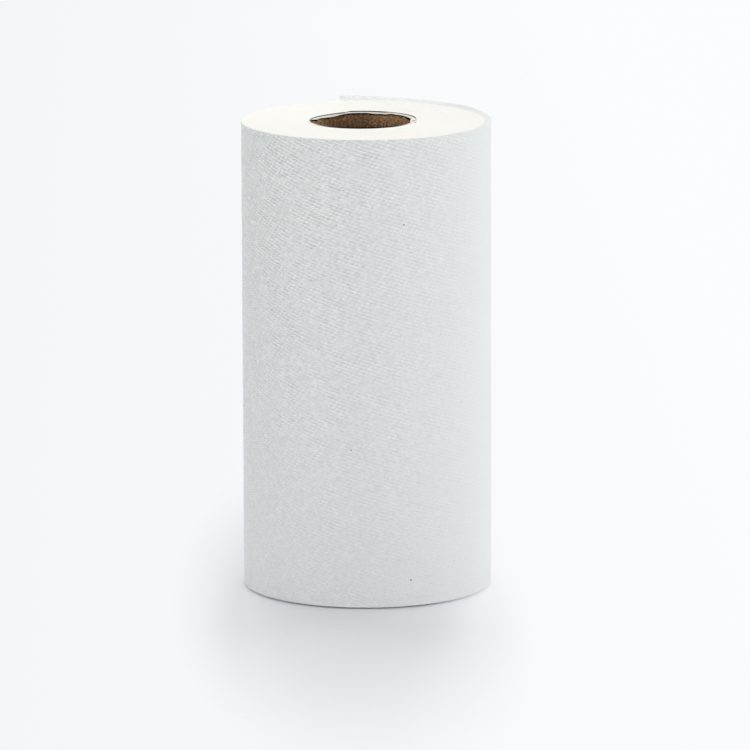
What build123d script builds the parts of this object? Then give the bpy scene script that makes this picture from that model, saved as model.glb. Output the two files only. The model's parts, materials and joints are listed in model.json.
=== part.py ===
"""Kitchen roll: one web of embossed paper towel wound on a board core.

Millimetres, +Z up. The roll stands on one end. The origin is on the core's axis,
at the end face that the roll stands on. The loose end of the web lies round the
back, towards +Y, and the front is towards -Y.
"""

import os

from build123d import *

# The web
sheet_width = 200.0  # from end to end of the roll
roll_diameter = 106.0  # over the last wound turn
wound_pitch = 0.35  # what each wound turn adds to the radius
loose_thickness = 0.45  # of the sheet off the roll, where its bosses spring back
roll_shift = 1.9  # the outer turns lie this far to the right of the core

# The core, a tube wound from strips of board
bore_diameter = 44.0
core_wall = 1.0
front_clearance = 0.1  # between core and paper, where the core leans
back_gap = 1.2  # between core and paper on the other side
seam_lead = 88.0  # the inner strip climbs this far in one turn
seam_width = 0.5  # of the joint between the inner strip's edges
seam_depth = 0.3
seam_angle = 75.0  # degrees from +X, where the joint meets the upper end

# The loose end, from where it leaves the roll
peel_angle = 12.0  # degrees behind the right-hand side
peel_run = 8.5  # straight, before the sheet curls
curl_slack = 7.5  # the curl's radius is this much over the roll's
curl_angle = 79.0

# The turns that show on both end faces
shown_turns = 8
turn_gap_width = 0.7  # between the splayed edges of two turns
turn_gap_depth = 0.6
rim_land = 1.4  # from the last gap to the outer turn
hole_land = 1.2  # from the core's hole to the first gap

# Sizes that follow from those
roll_radius = roll_diameter / 2
bore_radius = bore_diameter / 2
core_radius = bore_radius + core_wall
hole_radius = core_radius + (front_clearance + back_gap) / 2
web_setback = (back_gap - front_clearance) / 2
web_plane = Plane(origin=(0, web_setback, 0))
curl_radius = roll_radius + curl_slack

# Where turns cross the line through the middle of the web, right and left
outer_right = roll_shift + roll_radius
outer_left = roll_shift - roll_radius
inner_right = outer_right - wound_pitch
first_gap_right = hole_radius + hole_land
first_gap_left = -first_gap_right
last_gap_right = inner_right - rim_land
last_gap_left = outer_left + rim_land


def gap_crossings():
    """Places of the gap between turns, every half turn from the hole outwards."""
    crossings = []
    for half_turn in range(2 * shown_turns + 1):
        share = half_turn / (2 * shown_turns)
        if half_turn % 2 == 0:
            crossings.append(first_gap_right + share * (last_gap_right - first_gap_right))
        else:
            crossings.append(first_gap_left + share * (last_gap_left - first_gap_left))
    return crossings


# The web is one solid: its outline is a spiral of two half circles with a step of
# one turn, and the loose end leaves it at that step
with BuildPart() as towel_roll:
    with BuildSketch(web_plane):
        with BuildLine():
            CenterArc(((inner_right + outer_left) / 2, 0), (inner_right - outer_left) / 2, 0, 180)
            CenterArc((roll_shift, 0), roll_radius, 180, 180)
            Line((outer_right, 0), (inner_right, 0))
        make_face()
        Circle(hole_radius, mode=Mode.SUBTRACT)
        with BuildLine():
            leaving = CenterArc((roll_shift, 0), roll_radius - loose_thickness / 2, 0, peel_angle)
            straight = Line(leaving @ 1, leaving @ 1 + peel_run * (leaving % 1))
            JernArc(straight @ 1, straight % 1, curl_radius, curl_angle)
        trace(line_width=loose_thickness)
    extrude(amount=sheet_width)

    # On both ends the splayed edges leave a gap that winds outwards
    crossings = gap_crossings()
    for end_height, inward in ((0, 1), (sheet_width, -1)):
        for start_x, end_x in zip(crossings, crossings[1:]):
            corner = (start_x, web_setback, end_height)
            with BuildSketch(Plane(origin=corner, x_dir=(1, 0, 0), z_dir=(0, -1, 0))):
                with BuildLine():
                    Polyline(
                        (-turn_gap_width / 2, 0),
                        (turn_gap_width / 2, 0),
                        (0, inward * turn_gap_depth),
                        close=True,
                    )
                make_face()
            middle = ((start_x + end_x) / 2, web_setback, end_height)
            revolve(axis=Axis(middle, (0, 0, 1)), revolution_arc=180, mode=Mode.SUBTRACT)
towel_roll.part.label = "towel_roll"

# The core stands inside, with the helical joint of its inner strip cut in the bore
with BuildPart() as core_tube:
    with BuildSketch():
        Circle(core_radius)
        Circle(bore_radius, mode=Mode.SUBTRACT)
    extrude(amount=sheet_width)

    seam_overrun = 2 * seam_width  # past both ends, so that the joint runs out
    seam_start = seam_angle - 360 * (sheet_width + seam_overrun) / seam_lead
    with BuildLine(Plane.XY.offset(-seam_overrun).rotated((0, 0, seam_start))) as seam:
        Helix(seam_lead, sheet_width + 2 * seam_overrun, bore_radius)
    foot = seam.line @ 0
    with BuildSketch(Plane(origin=foot, x_dir=(foot.X, foot.Y, 0), z_dir=seam.line % 0)):
        Rectangle(2 * seam_depth, seam_width)
    sweep(path=seam.line, is_frenet=True, mode=Mode.SUBTRACT)
core_tube.part.label = "core_tube"

os.makedirs("parts", exist_ok=True)
export_step(towel_roll.part, "parts/towel_roll.step")
export_step(core_tube.part, "parts/core_tube.step")
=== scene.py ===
"""Looks of a standing kitchen roll: embossed tissue web, loose end, cut turns and board core.

All lengths are in metres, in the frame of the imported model: +Z up along the core and
-Y towards the front. Along means along the web, counter-clockwise seen from above.
"""

import json
import math
import random

import bpy
from mathutils import Euler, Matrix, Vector, noise


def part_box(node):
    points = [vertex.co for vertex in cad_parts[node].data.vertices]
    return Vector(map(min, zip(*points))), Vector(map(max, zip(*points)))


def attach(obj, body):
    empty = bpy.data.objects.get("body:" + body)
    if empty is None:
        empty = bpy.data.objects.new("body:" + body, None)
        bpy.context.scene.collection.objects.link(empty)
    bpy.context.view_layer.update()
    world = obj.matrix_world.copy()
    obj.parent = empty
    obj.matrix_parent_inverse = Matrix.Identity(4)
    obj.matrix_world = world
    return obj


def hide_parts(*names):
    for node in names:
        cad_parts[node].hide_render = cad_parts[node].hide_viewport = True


bl_info = {
    "name": "Kitchen roll looks",
    "version": (1, 0, 0),
    "blender": (4, 5, 0),
    "location": "3D View > Sidebar > Roll",
    "description": "Dresses a packed kitchen roll in tissue and board",
    "category": "Object",
}

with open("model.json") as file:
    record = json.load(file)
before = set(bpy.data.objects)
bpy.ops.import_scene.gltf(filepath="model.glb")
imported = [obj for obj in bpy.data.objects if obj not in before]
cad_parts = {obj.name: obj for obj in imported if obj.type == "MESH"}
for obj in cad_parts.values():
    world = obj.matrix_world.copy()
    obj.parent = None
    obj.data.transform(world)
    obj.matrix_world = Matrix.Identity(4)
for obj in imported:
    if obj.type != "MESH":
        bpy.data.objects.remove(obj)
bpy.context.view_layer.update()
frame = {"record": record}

MM = 0.001
TAU = 2 * math.pi
BODY = "root"

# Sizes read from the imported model
WEB_LOW, WEB_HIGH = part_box("towel_roll")
CORE_LOW, CORE_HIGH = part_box("core_tube")
ROLL_RADIUS = (WEB_HIGH.x - WEB_LOW.x) / 2
ROLL_SHIFT = (WEB_HIGH.x + WEB_LOW.x) / 2
WEB_SETBACK = WEB_LOW.y + ROLL_RADIUS
CORE_RADIUS = (CORE_HIGH.x - CORE_LOW.x) / 2
BORE_RADIUS = MM * next(m["dims"]["r_mm"] for m in frame["record"]["mounts"] if m["name"] == "core_bore")
FRONT_CLEARANCE = 0.1 * MM  # between core and paper, where the core leans
HOLE_RADIUS = CORE_RADIUS + WEB_SETBACK + FRONT_CLEARANCE
HOLE_CENTRE = Vector((0, WEB_SETBACK, 0))
ROLL_CENTRE = Vector((ROLL_SHIFT, WEB_SETBACK, 0))


def linear(hex_colour):
    """An sRGB hex value as the linear RGBA that Blender works in."""
    channels = [int(hex_colour[i : i + 2], 16) / 255 for i in (0, 2, 4)]
    return [c / 12.92 if c <= 0.04045 else ((c + 0.055) / 1.055) ** 2.4 for c in channels] + [1.0]


def length(name, default, description):
    """A length property in metres."""
    return bpy.props.FloatProperty(
        name=name, default=default, description=description, unit="LENGTH", precision=5
    )


def angle(name, degrees, description):
    """An angle property, its default written in degrees."""
    return bpy.props.FloatProperty(
        name=name, default=math.radians(degrees), description=description, unit="ROTATION"
    )


def fraction(name, default, description):
    """A property between 0 and 1."""
    return bpy.props.FloatProperty(
        name=name, default=default, description=description, subtype="FACTOR", min=0, max=1, precision=4
    )


def colour(name, hex_colour, description):
    """A colour property, its default written as sRGB hex."""
    return bpy.props.FloatVectorProperty(
        name=name, default=linear(hex_colour), description=description, subtype="COLOR", size=4
    )


class WebSettings(bpy.types.PropertyGroup):
    """The tissue web: how it is wound, embossed, torn and coloured."""

    wound_pitch: length("Wound pitch", 0.35 * MM, "What one wound turn adds to the radius")
    dash_spacing: length("Dash spacing", 1.9 * MM, "Between embossed dashes along a row")
    row_spacing: length("Row spacing", 1.547 * MM, "Between rows of dashes")
    row_fall: fraction("Row fall", 0.3276, "How far a row falls for its length")
    boss_height: length("Boss height", 0.6 * MM, "Relief of the emboss")
    slant_shade: fraction("Slant shade", 0.05, "Shade of the wave that slants the dashes")
    crepe_depth: length("Crepe depth", 0.12 * MM, "Crinkles left by the drying of the tissue")
    wave_depth: length("Wave depth", 0.3 * MM, "Soft unevenness of the wound surface")
    sheet_length: length("Sheet length", 279.4 * MM, "From one perforation to the next")
    bond_spacing: length("Bond spacing", 6.4 * MM, "Between the bonds of a perforation")
    skin_drop: length("Skin drop", 0.12 * MM, "How far the outer skin ends under the upper end")
    skin_lift: length("Skin lift", 0.7 * MM, "How far the outer skin ends over the floor")
    paper: colour("Paper", "FAFBFA", "Bleached tissue")
    # Painted shade: the colour that the bottoms of the embossed hollows are darkened to
    hollow_shade: colour("Hollow shade", "D3D6D5", "Bottoms of the embossed hollows")
    cut_edge: colour("Cut edge", "FDFCF7", "Sawn edges of the turns")
    fleck: colour("Fleck", "6B6660", "Recycled fibre")
    flecks: bpy.props.IntProperty(name="Flecks", default=40, min=0, description="Scattered round the back")
    cut_ridge: length("Cut ridge", 0.7 * MM, "How deep the cut edge of a turn stands")
    cut_unevenness: length("Cut unevenness", 0.08 * MM, "How far cut edges lie under the end face")
    # Painted shade of the gaps between the loose last turns on an end face: how strong, and its colour
    loose_gap_shade_strength: fraction("Loose gap shade strength", 0.11, "How far the gaps between the loose last turns show")
    loose_gap_shade: colour("Loose gap shade", "006CA0", "Bluish shade in the gaps between the loose last turns")


class LooseSettings(bpy.types.PropertyGroup):
    """The route of the loose end, from where it leaves the roll."""

    thickness: length("Thickness", 0.45 * MM, "Of the sheet off the roll")
    peel_angle: angle("Peel angle", 12, "Behind the right side")
    peel_run: length("Peel run", 8.5 * MM, "Straight stretch before the curl")
    curl_slack: length("Curl slack", 7.5 * MM, "What the curl's radius is over the roll's")
    curl_angle: angle("Curl angle", 79, "Turn of the curled stretch")
    torn_depth: length("Torn depth", 0.8 * MM, "How far the torn bonds stand out of the free edge")


class CoreSettings(bpy.types.PropertyGroup):
    """The board core and the frayed lip that the saw left on it."""

    board: colour("Board", "A7835F", "Brown core board")
    frayed: colour("Frayed lip", "FFF3E4", "Torn ply and painted shadow at the sawn ends")
    # Painted shadow under the frayed ply; it also darkens the front of the sawn end and colours the dark chip
    torn: colour("Torn ply and painted shadow", "0D0402", "Its dark lower edge")
    # Painted shade of the gap between core and paper, and of the crease under the fold
    gap_shade: colour("Gap shade", "0E0A07", "Between core and paper")
    folded: colour("Folded turn", "FDFCF7", "The first turn's fold over the core's end")
    splinter: colour("Splinter", "C48C5E", "Loose fibres of board")
    lip_drop: length("Lip drop", 0.4 * MM, "How far the frayed ply hangs into the bore")
    lip_curl: length("Lip curl", 0.8 * MM, "How far the frayed ply stands into the bore")
    flap_start: angle("Flap start", -27, "Bearing of the torn flap's front end")
    flap_end: angle("Flap end", 4, "Bearing of the torn flap's back end")
    flap_edge: length("Flap edge", 20.6 * MM, "How far right of the core's axis the flap's edge is")
    seam_lead: length("Seam lead", 88 * MM, "The inner ply climbs this far in one turn")


def node(tree, kind, inputs=None, **settings):
    """Adds a node, sets its properties, and sets or links its inputs by name or number.

    Inputs 0 to 4 of a Map Range are its value, the range it comes from and the range it
    goes to. Inputs 0, 6 and 7 of a colour Mix are its factor and its two colours, and 0, 4
    and 5 those of a vector Mix.
    """
    made = tree.nodes.new(kind)
    for name, value in settings.items():
        setattr(made, name, value)
    for key, value in (inputs or {}).items():
        if isinstance(value, bpy.types.Node):
            value = next(s for s in value.outputs if s.enabled)
        if isinstance(value, bpy.types.NodeSocket):
            tree.links.new(value, made.inputs[key])
        else:
            made.inputs[key].default_value = value
    return made


def new_tree(name, inputs, output_kind):
    """A node group with its named inputs and one result, and the sockets of its inputs."""
    tree = bpy.data.node_groups.new(name, "GeometryNodeTree")
    for input_name, kind in inputs.items():
        tree.interface.new_socket(input_name, in_out="INPUT", socket_type=kind)
    tree.interface.new_socket("Result", in_out="OUTPUT", socket_type=output_kind)
    return tree, tree.nodes.new("NodeGroupInput").outputs


def finish_tree(tree, given, shape):
    """Ends a tree in real geometry with its material."""
    real = node(tree, "GeometryNodeRealizeInstances", {"Geometry": shape})
    dressed = node(tree, "GeometryNodeSetMaterial", {"Geometry": real, "Material": given["Material"]})
    node(tree, "NodeGroupOutput", {"Result": dressed})
    return tree


def grow(name, base, tree, inputs):
    """A plain mesh piece on the body, made by a tree from the base object's data."""
    source = bpy.data.objects.new(name + "_source", base)
    bpy.context.scene.collection.objects.link(source)
    modifier = source.modifiers.new("Grow", "NODES")
    modifier.node_group = tree
    for item in tree.interface.items_tree:
        if item.in_out == "INPUT" and item.name in inputs:
            modifier[item.identifier] = inputs[item.name]
    shaped = source.evaluated_get(bpy.context.evaluated_depsgraph_get())
    mesh = bpy.data.meshes.new_from_object(shaped)
    source.modifiers.remove(modifier)
    bpy.data.objects.remove(source)
    if not mesh.polygons:
        raise RuntimeError(f"the tree of {name} made no faces")
    mesh.polygons.foreach_set("use_smooth", [False] * len(mesh.polygons))
    return add_piece(name, mesh)


def add_piece(name, mesh):
    """Puts a finished mesh in the scene as a piece of the roll."""
    mesh.name = name
    piece = bpy.data.objects.new(name, mesh)
    bpy.context.scene.collection.objects.link(piece)
    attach(piece, BODY)
    return piece


# What the trees of the web and of its relief are both told
RELIEF_SIZES = (
    "Column",
    "Row",
    "Row fall",
    "Boss height",
    "Crepe depth",
    "Peel at",
    "Slit at",
    "Bond spacing",
)

# A noise lies between these nearly everywhere
NOISE_LOW, NOISE_HIGH = 0.3, 0.7

# What the patterns of the relief measure, some as a count to the millimetre. The crinkles
# of real crepe are about half as wide, and are drawn as coarse as the mesh needs to hold them.
PATCH_SIZE = MM / 0.11  # 9.1 mm, of firm and weak embossing
BOSS_CHANGE = 1.0 * MM  # over which one boss differs from the next
CRINKLE_SIZE = MM / 2.3
WAVE_SIZE = MM / 0.024  # 42 mm, of the soft unevenness of the wound surface
WAVE_TOP = 0.35  # the noise at which such a wave adds nothing
TEAR_SIZE = MM / 0.9  # of the ragged line between two torn bonds

# The wave across the rows, whose height is 1, is joined by one along them: how high that
# is on the mean, and how much more of it there is on a row than between two
ALONG_HEIGHT = 0.45
ALONG_CHANGE = 0.12

# How much of a boss is left in weak and firm patches, and from one boss to the next
PATCH_RANGE = (0.33, 0.62)
PATCH_SHARES = (0.25, 1.0)
CHANGE_SHARES = (0.45, 1.15)

# What the waves add up to on a boss and in a hollow, their mean between these two, and
# how deep that mean lies under the route, as a share of the bosses' height
BOSS_SUM, HOLLOW_SUM = 1.62, -1.3
MEAN_SUNK = 0.55
MIDDLE_SHARE = 0.4

# How much of the emboss is left: beside the line where the web leaves the roll and away
# from it, and at the worn foot of the roll and at its upper end
PEEL_FLAT, PEEL_FIRM = 25 * MM, 100 * MM
PEEL_SHARES = (0.15, 1.25)
FOOT_WORN, TOP_FIRM = 8 * MM, 190 * MM
WORN_SHARES = (0.25, 1.05)

# The perforation: how wide and deep the web dips at a slit, and the share that is bonded
SLIT_REACH = 1.2 * MM
SLIT_DEPTH = 0.22 * MM
BOND_SHARE = 0.25


def relief_tree():
    """How deep the embossed skin lies under its route at a place on the web, as X.

    The emboss is a brick lattice of short dashes, as waves across the rows and along
    them. A column is half a dash spacing and a row is half a row spacing. How much painted
    shade a spot gets, more in a hollow, goes out as Hollow shade. The wave that slants the
    dashes is finer than the mesh, so the material paints it as shade: its phase goes there,
    as Y, with the firmness of the emboss, as Z.
    """
    inputs = dict.fromkeys(("Along", "Up", *RELIEF_SIZES), "NodeSocketFloat")
    tree, given = new_tree("Embossed relief", inputs, "NodeSocketVector")
    tree.interface.new_socket("Hollow shade", in_out="OUTPUT", socket_type="NodeSocketFloat")
    column = node(tree, "ShaderNodeMath", {0: given["Along"], 1: given["Column"]}, operation="DIVIDE")
    unfallen = node(
        tree,
        "ShaderNodeMath",
        {0: given["Along"], 1: given["Row fall"], 2: given["Up"]},
        operation="MULTIPLY_ADD",
    )
    row = node(tree, "ShaderNodeMath", {0: unfallen, 1: given["Row"]}, operation="DIVIDE")
    across = node(tree, "ShaderNodeMath", {0: row, 1: math.pi}, operation="MULTIPLY")
    across_wave = node(tree, "ShaderNodeMath", {0: across}, operation="COSINE")
    slid = node(tree, "ShaderNodeMath", {0: row, 1: -0.5, 2: column}, operation="MULTIPLY_ADD")
    along = node(tree, "ShaderNodeMath", {0: slid, 1: math.pi}, operation="MULTIPLY")
    along_wave = node(tree, "ShaderNodeMath", {0: along}, operation="COSINE")
    height = node(
        tree, "ShaderNodeMath", {0: across_wave, 1: ALONG_CHANGE, 2: ALONG_HEIGHT}, operation="MULTIPLY_ADD"
    )
    dashes = node(
        tree, "ShaderNodeMath", {0: along_wave, 1: height, 2: across_wave}, operation="MULTIPLY_ADD"
    )
    sunk = node(
        tree, "ShaderNodeMapRange", {0: dashes, 1: BOSS_SUM, 2: HOLLOW_SUM, 3: 0.0, 4: 1.0}, clamp=False
    )
    place = node(tree, "ShaderNodeCombineXYZ", {0: given["Along"], 1: given["Up"], 2: 0.0})
    patches = node(tree, "ShaderNodeTexNoise", {"Vector": place, "Scale": 1 / PATCH_SIZE, "Detail": 2.0})
    low, high = PATCH_RANGE
    weak, firm = PATCH_SHARES
    strength = node(tree, "ShaderNodeMapRange", {0: patches, 1: low, 2: high, 3: weak, 4: firm})
    change = node(tree, "ShaderNodeTexNoise", {"Vector": place, "Scale": 1 / BOSS_CHANGE, "Detail": 1.0})
    less, more = CHANGE_SHARES
    uneven = node(
        tree, "ShaderNodeMapRange", {0: change, 1: NOISE_LOW, 2: NOISE_HIGH, 3: less, 4: more}
    )
    grain = node(tree, "ShaderNodeTexNoise", {"Vector": place, "Scale": 1 / CRINKLE_SIZE, "Detail": 0.0})
    crepe_depth = given["Crepe depth"]
    minus = node(tree, "ShaderNodeMath", {0: crepe_depth, 1: -1.0}, operation="MULTIPLY")
    crinkle = node(
        tree, "ShaderNodeMapRange", {0: grain, 1: NOISE_LOW, 2: NOISE_HIGH, 3: minus, 4: crepe_depth}
    )

    # The web is pulled flat round the line where it leaves the roll, and worn flat at its foot
    to_peel = node(tree, "ShaderNodeMath", {0: given["Along"], 1: given["Peel at"]}, operation="SUBTRACT")
    off_peel = node(tree, "ShaderNodeMath", {0: to_peel}, operation="ABSOLUTE")
    flat, firm = PEEL_SHARES
    kept = node(tree, "ShaderNodeMapRange", {0: off_peel, 1: PEEL_FLAT, 2: PEEL_FIRM, 3: flat, 4: firm})
    low, high = WORN_SHARES
    worn = node(tree, "ShaderNodeMapRange", {0: given["Up"], 1: FOOT_WORN, 2: TOP_FIRM, 3: low, 4: high})
    clear = node(tree, "ShaderNodeMath", {0: worn, 1: 0.5}, operation="POWER")
    creped = node(tree, "ShaderNodeMath", {0: crinkle, 1: clear}, operation="MULTIPLY")
    off_mean = node(tree, "ShaderNodeMath", {0: sunk, 1: MEAN_SUNK}, operation="SUBTRACT")
    bossed = node(tree, "ShaderNodeMath", {0: off_mean, 1: uneven}, operation="MULTIPLY")
    patchy = node(tree, "ShaderNodeMath", {0: bossed, 1: strength}, operation="MULTIPLY")
    faded = node(tree, "ShaderNodeMath", {0: patchy, 1: worn}, operation="MULTIPLY")
    rough = node(
        tree, "ShaderNodeMath", {0: faded, 1: given["Boss height"], 2: creped}, operation="MULTIPLY_ADD"
    )
    whole = node(
        tree, "ShaderNodeMath", {0: given["Boss height"], 1: MIDDLE_SHARE, 2: rough}, operation="MULTIPLY_ADD"
    )
    depth = node(tree, "ShaderNodeMath", {0: whole, 1: kept}, operation="MULTIPLY")
    # How much painted shade a spot gets, more the deeper its hollow
    slope = node(tree, "ShaderNodeMath", {0: rough, 1: given["Boss height"]}, operation="DIVIDE")
    hollow_shade = node(tree, "ShaderNodeMath", {0: slope, 1: kept, 2: MIDDLE_SHARE}, operation="MULTIPLY_ADD")

    # The perforation is a row of slits with short bonds between them
    off = node(tree, "ShaderNodeMath", {0: given["Along"], 1: given["Slit at"]}, operation="SUBTRACT")
    away = node(tree, "ShaderNodeMath", {0: off}, operation="ABSOLUTE")
    near = node(tree, "ShaderNodeMapRange", {0: away, 1: 0.0, 2: SLIT_REACH, 3: SLIT_DEPTH, 4: 0.0})
    bonds = node(tree, "ShaderNodeMath", {0: given["Up"], 1: given["Bond spacing"]}, operation="DIVIDE")
    repeat = node(tree, "ShaderNodeMath", {0: bonds}, operation="FRACT")
    slit = node(tree, "ShaderNodeMath", {0: repeat, 1: BOND_SHARE}, operation="GREATER_THAN")
    cut = node(tree, "ShaderNodeMath", {0: near, 1: slit, 2: depth}, operation="MULTIPLY_ADD")
    slant = node(tree, "ShaderNodeMath", {0: row, 1: slid}, operation="SUBTRACT")
    left = node(tree, "ShaderNodeMath", {0: kept, 1: clear}, operation="MULTIPLY")
    firmness = node(tree, "ShaderNodeMath", {0: left, 1: strength}, operation="MULTIPLY")
    told = node(tree, "ShaderNodeCombineXYZ", {0: cut, 1: slant, 2: firmness})
    node(tree, "NodeGroupOutput", {"Result": told, "Hollow shade": hollow_shade})
    return tree


WEB_INPUTS = {
    "Routes": "NodeSocketGeometry",
    "Length": "NodeSocketFloat",
    "Columns": "NodeSocketInt",
    "Rows": "NodeSocketInt",
    "Lower edge": "NodeSocketFloat",
    "Upper edge": "NodeSocketFloat",
    "Along from": "NodeSocketFloat",
    "Row offset": "NodeSocketFloat",
    "Wave depth": "NodeSocketFloat",
    "Thickness": "NodeSocketFloat",
    "Torn depth": "NodeSocketFloat",
    "Material": "NodeSocketMaterial",
} | dict.fromkeys(RELIEF_SIZES, "NodeSocketFloat")

TORN_REACH = 4 * MM  # how far from the free edge the sheet gives with the tear
RIM_REACH = 0.3 * MM  # within which a skin runs into its edges
PRESSED_REACH = 5 * MM  # how far from the sawn edges the emboss is pressed flat
PRESSED_SHARE = 0.1  # of it that is left there
WELD = 0.01 * MM  # between points that are one


def skin_grid(tree, given):
    """A flat skin, its X along the web and its Y up, with its rows aligned to the emboss.

    The rows fall as the emboss does, and what lies past an edge is pressed onto it.
    """
    columns = node(tree, "ShaderNodeMath", {0: given["Columns"], 1: 1.0}, operation="ADD")
    rows = node(tree, "ShaderNodeMath", {0: given["Rows"], 1: 1.0}, operation="ADD")
    height = node(tree, "ShaderNodeMath", {0: given["Rows"], 1: given["Row"]}, operation="MULTIPLY")
    grid = node(tree, "GeometryNodeMeshGrid", {0: given["Length"], 1: height, 2: columns, 3: rows})
    place = node(tree, "ShaderNodeSeparateXYZ", {0: node(tree, "GeometryNodeInputPosition")})
    along = node(
        tree, "ShaderNodeMath", {0: given["Length"], 1: 0.5, 2: place.outputs["X"]}, operation="MULTIPLY_ADD"
    )
    up = node(tree, "ShaderNodeMath", {0: height, 1: 0.5, 2: place.outputs["Y"]}, operation="MULTIPLY_ADD")
    offset = node(tree, "ShaderNodeMath", {0: up, 1: given["Row offset"]}, operation="ADD")
    fallen = node(tree, "ShaderNodeMath", {0: along, 1: given["Row fall"]}, operation="MULTIPLY")
    slanted = node(tree, "ShaderNodeMath", {0: offset, 1: fallen}, operation="SUBTRACT")
    pressed = node(tree, "ShaderNodeClamp", {0: slanted, 1: given["Lower edge"], 2: given["Upper edge"]})
    flat = node(tree, "ShaderNodeCombineXYZ", {0: along, 1: pressed, 2: 0.0})
    return node(tree, "GeometryNodeSetPosition", {"Geometry": grid, "Position": flat})


def cap_grid(tree, given):
    """The plain band that closes the wound body: upper end, hole wall and lower end.

    Its Z is 0 on the outer route and 1 on the hole's.
    """
    columns = node(tree, "ShaderNodeMath", {0: given["Columns"], 1: 1.0}, operation="ADD")
    grid = node(tree, "GeometryNodeMeshGrid", {0: given["Length"], 1: 3.0, 2: columns, 3: 4})
    place = node(tree, "ShaderNodeSeparateXYZ", {0: node(tree, "GeometryNodeInputPosition")})
    along = node(
        tree, "ShaderNodeMath", {0: given["Length"], 1: 0.5, 2: place.outputs["X"]}, operation="MULTIPLY_ADD"
    )
    low = node(tree, "ShaderNodeMath", {0: place.outputs["Y"], 1: 0.0}, operation="GREATER_THAN")
    up = node(
        tree, "ShaderNodeMapRange", {0: low, 1: 0.0, 2: 1.0, 3: given["Upper edge"], 4: given["Lower edge"]}
    )
    off_middle = node(tree, "ShaderNodeMath", {0: place.outputs["Y"]}, operation="ABSOLUTE")
    in_hole = node(tree, "ShaderNodeMath", {0: off_middle, 1: 1.0}, operation="LESS_THAN")
    flat = node(tree, "ShaderNodeCombineXYZ", {0: along, 1: up, 2: in_hole})
    return node(tree, "GeometryNodeSetPosition", {"Geometry": grid, "Position": flat})


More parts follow.
